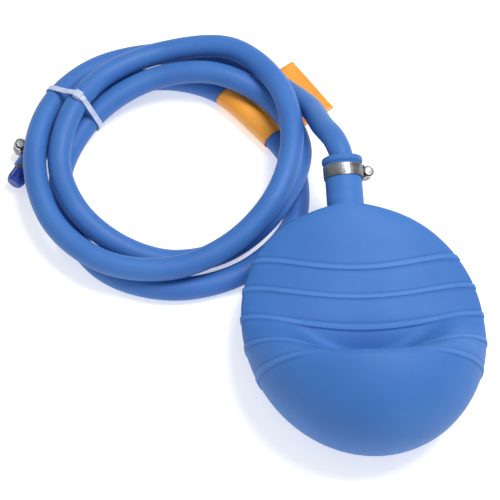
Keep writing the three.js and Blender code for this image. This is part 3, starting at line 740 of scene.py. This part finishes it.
    def build(self, material: bpy.types.Material) -> bpy.types.Object:
        """Make the bag's mesh and put it with the plug in place of the CAD bag.

        Args:
            material: The rubber it is dressed in.

        Returns:
            The bag's object.
        """
        skin = RingSkin(self.columns)
        # The crown mark carries the painted highlight and the rubbing bloom on the rib crowns.
        crown = skin.bm.verts.layers.float.new("crown")
        # The crease mark carries the painted shade in the grooves beside the ribs.
        crease = skin.bm.verts.layers.float.new("crease")
        turns = [2 * math.pi * k / self.columns for k in range(self.columns)]
        full = [1.0] * self.columns
        faded = [smooth(abs(math.cos(t)), *self.rib_fade) if math.sin(t) > 0 else 1.0 for t in turns]
        marks = []
        for station in self.stations():
            height, on_crown, in_crease = self.rib_profile(station)
            shares = faded if station < self.rib_first_y + self.rib_width else full
            skin.grow([self.ribbed_point(station, turn, height * s) * MM for turn, s in zip(turns, shares)])
            marks.append((on_crown, in_crease, shares))
        up = Vector((0, -math.sin(self.neck_tilt), math.cos(self.neck_tilt)))
        side = Vector((1, 0, 0))
        for distance, radius in self.neck_rings():
            centre = self.neck_point(distance)
            ring = [centre + (side * math.cos(t) + up * math.sin(t)) * radius for t in turns]
            skin.grow([point * MM for point in ring])
            marks.append((0.0, 0.0, full))
        skin.close()
        skin.close_start(Vector((0, self.widest_y - self.front_length, self.rim_height)) * MM)
        # Crown marks give painted highlight with bloom, crease marks give painted shade; both are faded in
        # the middle of the top.
        for vert in skin.bm.verts:
            on_crown, in_crease, shares = marks[min(vert[skin.row], len(marks) - 1)]
            vert[crown] = on_crown * shares[vert[skin.column]]
            vert[crease] = in_crease * shares[vert[skin.column]]
        bag = finished_object("bag_skin", skin.bm, material)
        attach(bag, "plug")
        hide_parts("bag")
        LOG.info("bag_skin: %d faces", len(bag.data.polygons))
        return bag


@dataclass(frozen=True)
class AirHose:
    """The hose along its route; sizes in millimetres."""

    diameter: float = 18
    bore: float = 10
    insertion: float = 26
    nipple_depth: float = 24.3
    barb_depth: float = 21.3
    bore_chamfer: float = 0.4
    coil_x: float = -137
    coil_y: float = 170
    spacing: float = 3.6
    columns: int = 36
    curve_steps: int = 40
    pattern_scale: float = 20

    def route_points(self, bag: AirBag) -> list[Vector]:
        """List the points that the hose's middle line goes through.

        Args:
            bag: The bag that the hose is plugged into.

        Returns:
            The points, in millimetres.
        """
        laps = [
            [(117, 21), (116, 12), (113, 9), (110, 19), (106, 30), (104, 32)],
            [(104, 28), (102, 28), (96, 27), (92, 32), (94, 44), (97, 48)],
            [(104, 45), (110, 37), (101, 28), (92, 32), (85, 38), (85, 30)],
            [(82, 25), (79, 15), (81, 9), (86, 11), (95, 25), (104, 29)],
            [(98, 26), (86, 32), (78, 28), (74, 24), (77, 18), (86, 10)],
            [(92, 9), (101, 9), (105, 9), (108, 9), (109, 9), (98, 9)],
            [(83, 10), (84, 10), (87, 10), (91, 11), (98, 11)],
        ]
        points = [bag.neck_point(bag.neck_length - self.insertion)]
        points.append(bag.neck_point(bag.neck_length - self.insertion / 2))
        points += [Vector(p) for p in ((-5.5, 143, 64), (-9, 157, 63), (-16, 178, 51), (-22, 204, 35))]
        turns = [place for half in laps for place in half]
        for index, (distance, height) in enumerate(turns):
            angle = (index + 1) * math.pi / 6
            x = self.coil_x + distance * math.cos(angle)
            y = self.coil_y + distance * math.sin(angle)
            points.append(Vector((x, y, height)))
        points += [Vector((-239, 197, 11)), Vector((-252, 178, 11))]
        return points

    @staticmethod
    def between(points: list[Vector], index: int, share: float) -> Vector:
        """Give a point of the smooth curve between two of its points.

        Args:
            points: The points that the curve goes through.
            index: The first of the two points.
            share: How far along, from 0 to 1.

        Returns:
            The point on the curve.
        """
        p1, p2 = points[index], points[index + 1]
        p0 = points[index - 1] if index > 0 else p1 * 2 - p2
        p3 = points[index + 2] if index + 2 < len(points) else p2 * 2 - p1
        t0, t1, t2 = (math.sqrt((b - a).length) for a, b in ((p0, p1), (p1, p2), (p2, p3)))
        leave = ((p1 - p0) / t0 - (p2 - p0) / (t0 + t1) + (p2 - p1) / t1) * t1
        arrive = ((p2 - p1) / t1 - (p3 - p1) / (t1 + t2) + (p3 - p2) / t2) * t1
        s = share
        curve = p1 + leave * s
        curve += (p2 * 3 - p1 * 3 - leave * 2 - arrive) * s * s
        return curve + (p1 * 2 - p2 * 2 + leave + arrive) * s * s * s

    def centreline(self, bag: AirBag) -> list[Vector]:
        """Give evenly spaced points along the hose's middle line.

        Args:
            bag: The bag that the hose is plugged into.

        Returns:
            The points, in metres.
        """
        points = self.route_points(bag)
        steps = self.curve_steps
        dense = [self.between(points, i, k / steps) for i in range(len(points) - 1) for k in range(steps)]
        dense.append(points[-1])
        for point in dense:
            point.z = max(point.z, self.diameter / 2)
        return [point * MM for point in evenly_spaced(dense, self.spacing)]

    def build(self, bag: AirBag, material: bpy.types.Material) -> tuple[bpy.types.Object, list[Vector]]:
        """Make the hose with its bored ends.

        Args:
            bag: The bag that the hose is plugged into.
            material: The rubber it is dressed in.

        Returns:
            The hose's object and its middle line in metres.
        """
        line = self.centreline(bag)
        outer = self.diameter / 2 * MM
        bore = self.bore / 2 * MM
        tangents = []
        for k in range(len(line)):
            tangents.append((line[min(k + 1, len(line) - 1)] - line[max(k - 1, 0)]).normalized())
        normal = Vector((0, 0, 1))
        frames = []
        for tangent in tangents:
            normal = (normal - tangent * normal.dot(tangent)).normalized()
            frames.append((normal.copy(), tangent.cross(normal)))
        skin = RingSkin(self.columns)

        def ring(index: int, radius: float, shift: float = 0.0) -> None:
            """Grow a ring at a point of the line, shifted along it."""
            across, up = frames[index]
            centre = line[index] + tangents[index] * shift
            places = []
            for k in range(self.columns):
                angle = 2 * math.pi * k / self.columns
                places.append(centre + (across * math.cos(angle) + up * math.sin(angle)) * radius)
            skin.grow(places)

        last = len(line) - 1
        chamfer = self.bore_chamfer * MM
        rounding = [(outer - 0.6 * MM, 0.0), (outer - 0.15 * MM, 0.2 * MM), (outer, 0.7 * MM)]
        ring(0, bore, self.nipple_depth * MM)
        ring(0, bore, chamfer)
        ring(0, bore + chamfer)
        for radius, depth in rounding:
            ring(0, radius, depth)
        for k in range(1, last):
            ring(k, outer)
        for radius, depth in reversed(rounding):
            ring(last, radius, -depth)
        ring(last, bore + chamfer)
        ring(last, bore, -chamfer)
        ring(last, bore, -self.barb_depth * MM)
        skin.close()
        skin.close_start()
        self.unwrap(skin)
        hose = finished_object("air_hose", skin.bm, material)
        LOG.info("air_hose: %d faces", len(hose.data.polygons))
        return hose, line

    def unwrap(self, skin: RingSkin) -> None:
        """Lay the hose's UV map: once round in U, and along it in V at the pattern's scale."""
        layer = skin.bm.loops.layers.uv.new("along")
        for face in skin.bm.faces:
            columns = [loop.vert[skin.column] for loop in face.loops]
            wraps = max(columns) - min(columns) > self.columns / 2
            for loop, column in zip(face.loops, columns):
                turn = column + self.columns if wraps and column == 0 else column
                along = loop.vert[skin.row] * self.spacing * MM * self.pattern_scale
                loop[layer].uv = (turn / self.columns, along)


def lap_passes(line: list[Vector], origin: Vector, out: Vector, off: float = 0.0) -> list[Vector]:
    """Find where the hose crosses an upright plane, in millimetres.

    Args:
        line: The hose's middle line, in metres.
        origin: Plan point that distances are measured from, in millimetres.
        out: Plan direction of the plane.
        off: How far the plane lies to the left of the origin, in millimetres.

    Returns:
        Distance out and height of each crossing.
    """
    side = Vector((-out.y, out.x))
    found = []
    for before, after in zip(line, line[1:]):
        a = before.xy / MM - origin
        b = after.xy / MM - origin
        near = a.dot(side) - off
        far = b.dot(side) - off
        if near * far <= 0 and near != far and b.dot(out) > 0:
            here = before.lerp(after, near / (near - far)) / MM
            found.append(Vector(((here.xy - origin).dot(out), here.z)))
    return found


@dataclass(frozen=True)
class HangTag:
    """Film tag folded round the lowest lap, with both leaves on the floor; sizes in millimetres."""

    angle: float = math.radians(34)
    direction: float = math.radians(32)
    length: float = 56
    leaf: float = 72
    thickness: float = 0.5
    hose_gap: float = 0.35
    fold_rise: float = 1.2
    floor_gap: float = 0.15
    drop_turn: float = 0.6 * math.pi
    drop_end: float = 1.12
    across_steps: int = 28
    under_steps: int = 30
    fold_steps: int = 25
    drop_steps: int = 15
    over_steps: int = 24

    def profile(self, lap: Vector, radius: float, edge: float) -> list[tuple[float, float]]:
        """Give the folded film's middle line, as distance out and height.

        Args:
            lap: Distance out and height of the lap that it hangs on.
            radius: Radius of the hose.
            edge: Distance out of the film's free edges.

        Returns:
            The line's points, in millimetres.
        """
        half = self.thickness / 2
        bend = radius + self.hose_gap + half
        under = half + self.floor_gap
        over = under + self.thickness + SEAT_GAP
        line = [(lerp(edge, lap.x, k / self.under_steps), under) for k in range(self.under_steps)]
        fold = (self.fold_steps, -math.pi / 2, math.pi, under)
        drop = (self.drop_steps, math.pi / 2, self.drop_turn, over)
        for steps, first, turn, lowest in (fold, drop):
            for k in range(steps):
                angle = first - turn * k / (steps - 1)
                line.append((lap.x + bend * math.cos(angle), max(lowest, lap.y + bend * math.sin(angle))))
        start = lap.x + bend * self.drop_end
        for k in range(self.over_steps):
            share = k / (self.over_steps - 1)
            lift = self.fold_rise * (1 - smooth(share, 0, 0.25))
            line.append((lerp(start, edge, share), over + lift))
        return line

    def build(self, hose: AirHose, line: list[Vector], material: bpy.types.Material) -> bpy.types.Object:
        """Args:
            hose: The hose that it hangs on.
            line: The hose's middle line, in metres.
            material: The film it is made of.

        Returns:
            The tag's object.
        """
        coil = Vector((hose.coil_x, hose.coil_y))
        toward = Vector((math.cos(self.angle), math.sin(self.angle)))
        held = min(lap_passes(line, coil, toward), key=lambda p: p.y)
        out = Vector((math.cos(self.direction), math.sin(self.direction)))
        side = Vector((-out.y, out.x))
        origin = coil + toward * held.x - out * held.x
        radius = hose.diameter / 2
        edge = held.x - radius + self.leaf
        first = self.profile(held, radius, edge)
        bm = bmesh.new()
        order = bm.verts.layers.int.new("order")
        start = [bm.verts.new((0, 0, 0)) for _ in first]
        edges = [bm.edges.new(pair) for pair in zip(start, start[1:])]
        for index, vert in enumerate(start):
            vert[order] = index
        for step in range(self.across_steps + 1):
            if step:
                grown = bmesh.ops.extrude_edge_only(bm, edges=edges)["geom"]
                start = [item for item in grown if isinstance(item, bmesh.types.BMVert)]
                fresh = set(start)
                edges = [e for e in grown if isinstance(e, bmesh.types.BMEdge) and set(e.verts) <= fresh]
            off = self.length * (step / self.across_steps - 0.5)
            lap = min(lap_passes(line, origin, out, off), key=lambda p: p.y)
            strip = self.profile(lap, radius, edge)
            for vert in start:
                distance, height = strip[vert[order]]
                place = origin + out * distance + side * off
                vert.co = Vector((place.x, place.y, height)) * MM
        piece = finished_object("hang_tag", bm, material)
        wall = piece.modifiers.new("wall", "SOLIDIFY")
        wall.thickness = self.thickness * MM
        wall.offset = 0.0
        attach(piece, "plug")
        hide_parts("tag")
        return piece


@dataclass(frozen=True)
class CableTie:
    """Nylon strap pulled tight round the laps, with its head on top; sizes in millimetres."""

    angle: float = math.radians(143)
    width: float = 4.6
    thickness: float = 1.2
    gap: float = 0.5
    head_length: float = 6.4
    head_height: float = 4.8
    head_width: float = 6.6
    head_round: float = 0.7
    head_turn: float = math.radians(97)
    tail: int = 7
    overlap_gap: float = 0.25
    columns: int = 16
    loop_steps: int = 720
    spacing: float = 1
    squareness: float = 0.35
    lift_from: int = 14
    lift_until: int = 3
    sharp_angle: float = math.radians(34)

    def squared(self, value: float) -> float:
        """Push a sine or cosine towards 1 or -1, so that a circle becomes a rounded square."""
        return math.copysign(abs(value) ** self.squareness, value)

    def loop(self, laps: list[Vector], radius: float) -> list[Vector]:
        """Give the strap's middle line, a millimetre apart, from the head on.

        Args:
            laps: Distance out and height of each lap that it holds.
            radius: Distance from a lap's middle to the strap's middle line.

        Returns:
            The line's points, in the tie's plane.
        """
        corners = []
        for k in range(self.loop_steps + 1):
            angle = self.head_turn + 2 * math.pi * k / self.loop_steps
            toward = Vector((math.cos(angle), math.sin(angle)))
            corners.append(max(laps, key=toward.dot) + toward * radius)
        return evenly_spaced(corners, self.spacing)[:-1]

    def build(self, hose: AirHose, line: list[Vector], material: bpy.types.Material) -> bpy.types.Object:
        """Make the strap and its head and put them with the plug in place of the CAD tie.

        Args:
            hose: The hose that it holds.
            line: The hose's middle line, in metres.
            material: The nylon it is made of.

        Returns:
            The tie's object.
        """
        coil = Vector((hose.coil_x, hose.coil_y))
        out = Vector((math.cos(self.angle), math.sin(self.angle)))
        laps = lap_passes(line, coil, out)
        points = self.loop(laps, hose.diameter / 2 + self.gap + self.thickness / 2)
        count = len(points)
        across = Vector((-out.y, out.x, 0))
        skin = RingSkin(self.columns)

        def solid(flat: Vector) -> Vector:
            """Turn a point of the tie's plane into one in space."""
            return Vector((out.x * flat.x, out.y * flat.x, flat.y))

        def outward(index: int) -> Vector:
            """Give the direction out of the loop at one of its points."""
            run = points[(index + 1) % count] - points[(index - 1) % count]
            return Vector((run.y, -run.x)).normalized()

        base = Vector((coil.x, coil.y, 0))
        for index in range(count + self.tail):
            rising = smooth(index, count - self.lift_from, count - self.lift_until)
            lift = (self.thickness + self.overlap_gap) * rising
            centre = points[index % count] + outward(index) * lift
            ring = []
            for k in range(self.columns):
                turn = 2 * math.pi * (k + 0.5) / self.columns
                wide = self.squared(math.cos(turn)) * self.width / 2
                deep = self.squared(math.sin(turn)) * self.thickness / 2
                ring.append((base + solid(centre + outward(index) * deep) + across * wide) * MM)
            skin.grow(ring)
        skin.close()
        skin.close_start()
        up = solid(outward(0))
        along = across.cross(up)
        middle = base + solid(points[0]) + up * (self.head_height / 2 - self.thickness)
        place = Matrix((along, across, up)).transposed().to_4x4()
        place.translation = middle * MM
        size = Matrix.Diagonal((self.head_length * MM, self.head_width * MM, self.head_height * MM, 1))
        head = bmesh.ops.create_cube(skin.bm, size=1.0, matrix=place @ size)["verts"]
        sides = {edge for vert in head for edge in vert.link_edges}
        rounding = self.head_round * MM
        bmesh.ops.bevel(skin.bm, geom=list(sides), offset=rounding, segments=3, affect="EDGES", profile=0.5)
        tie = finished_object("tie_strap", skin.bm, material)
        tie.data.set_sharp_from_angle(angle=self.sharp_angle)
        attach(tie, "plug")
        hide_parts("cable_tie")
        LOG.info("tie_strap: %d laps, %d mm of strap", len(laps), count)
        return tie


def dress(frame: dict, finishes: dict[str, bpy.types.Material]) -> None:
    """Give the CAD nodes that stay their finishes.

    Args:
        frame: The loaded frame.
        finishes: Material for each material slot.
    """
    for part in frame["record"]["subparts"]:
        node = frame["nodes"][part["node"]]
        for place in node.material_slots:
            place.material = finishes[part["material_slot"]]
        LOG.info("%s: %s", part["node"], part["material_slot"])


@dataclass(frozen=True)
class Studio:
    """Floor, soft light and the camera at the photograph's angle; sizes in metres."""

    azimuth: float = math.radians(-4)
    elevation: float = math.radians(62)
    distance: float = 1.28
    target: tuple[float, float, float] = (-0.0776, 0.0995, 0.0)
    lens: float = 118.15
    sensor: float = 36
    whiteness: float = 0.45

    def hang(self, item: bpy.types.Object, place: Vector) -> None:
        """Put a camera or light in the scene, pointing at the object."""
        item.location = place
        item.rotation_euler = (Vector(self.target) - place).to_track_quat("-Z", "Y").to_euler()
        bpy.context.scene.collection.objects.link(item)

    def place_camera(self) -> None:
        """Make the camera and give it to the scene."""
        back = Vector((
            math.sin(self.azimuth) * math.cos(self.elevation),
            -math.cos(self.azimuth) * math.cos(self.elevation),
            math.sin(self.elevation),
        ))
        data = bpy.data.cameras.new("photo_camera")
        data.lens = self.lens
        data.sensor_width = self.sensor
        data.sensor_fit = "HORIZONTAL"
        camera = bpy.data.objects.new("photo_camera", data)
        self.hang(camera, Vector(self.target) + back * self.distance)
        bpy.context.scene.camera = camera

    def area(self, name: str, place: tuple[float, float, float], size: float, power: float) -> None:
        """Hang a round soft light that points at the object.

        Args:
            name: Name of the light.
            place: Where it hangs.
            size: Width of the light.
            power: Its watts.
        """
        data = bpy.data.lights.new(name, "AREA")
        data.shape = "DISK"
        data.size = size
        data.energy = power
        self.hang(bpy.data.objects.new(name, data), Vector(place))

    def build(self) -> None:
        """Lay the floor and light it."""
        bm = bmesh.new()
        bmesh.ops.create_grid(bm, x_segments=1, y_segments=1, size=3.0)
        sheet = ShaderSheet("pale_floor")
        place = sheet.place(Coordinates.OBJECT)
        clouds = sheet.noise(place, 3, 2, 0.5)
        sheet.set(Base_Color=sheet.tint(clouds, (0.9, 0.9, 0.9, 1), (0.93, 0.93, 0.93, 1)))
        sheet.set(Roughness=0.9, Emission_Color=(1, 1, 1, 1), Emission_Strength=self.whiteness)
        floor = finished_object("floor", bm, sheet.material)
        world = bpy.data.worlds.new("soft_white")
        world.use_nodes = True
        background = next(n for n in world.node_tree.nodes if n.type == "BACKGROUND")
        background.inputs["Color"].default_value = (1, 1, 1, 1)
        background.inputs["Strength"].default_value = self.whiteness
        bpy.context.scene.world = world
        bpy.context.scene.view_settings.view_transform = "Standard"
        self.area("key", (0.5, 0.3, 1.6), 0.8, 26)
        self.area("fill", (-0.3, -0.9, 1.3), 1.2, 3)


def main() -> None:
    """Build the plug in order and report each piece."""
    logging.basicConfig(level=logging.INFO, format="%(name)s: %(message)s")
    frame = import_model()
    studio = Studio()
    studio.place_camera()
    finishes = {
        "bag_rubber": MouldedRubber().make(),
        "hose_rubber": HoseRubber().make(),
        "clip_steel": Metal("clip_steel", (150, 151, 155), (104, 103, 102), 0.42).make(),
        "valve_brass": Metal("valve_brass", (176, 150, 96), (128, 104, 62), 0.4).make(),
        "cap_plastic": MouldedPlastic("cap_plastic", (26, 66, 160), (18, 52, 140), 0.42).make(),
        "washer_rubber": MouldedPlastic("washer_rubber", (34, 34, 36), (24, 24, 26), 0.6).make(),
        "tie_nylon": MouldedPlastic("tie_nylon", (192, 202, 226), (176, 188, 216), 0.42, 0.25).make(),
        "tag_film": PrintedFilm().make(),
    }
    bag = AirBag()
    air_hose = AirHose()
    hose, line = air_hose.build(bag, finishes["hose_rubber"])
    tag = HangTag().build(air_hose, line, finishes["tag_film"])
    tie = CableTie().build(air_hose, line, finishes["tie_nylon"])
    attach(hose, "plug")
    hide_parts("hose")
    nodes = frame["nodes"]
    on_hose = ["tail_clip_band", "tail_clip_housing", "tail_clip_screw", "valve_stem", "valve_core"]
    on_hose += ["core_pin", "valve_cap", "cap_washer"]
    length = sum((b - a).length for a, b in zip(line, line[1:]))
    tuple(bag.neck_point(bag.neck_length) * MM)
    [nodes[name] for name in on_hose] + [tie, tag]
    bag.build(finishes["bag_rubber"])
    dress(frame, finishes)
    studio.build()
    LOG.info("hose length %.3f m", length)


if __name__ == "__main__":
    main()
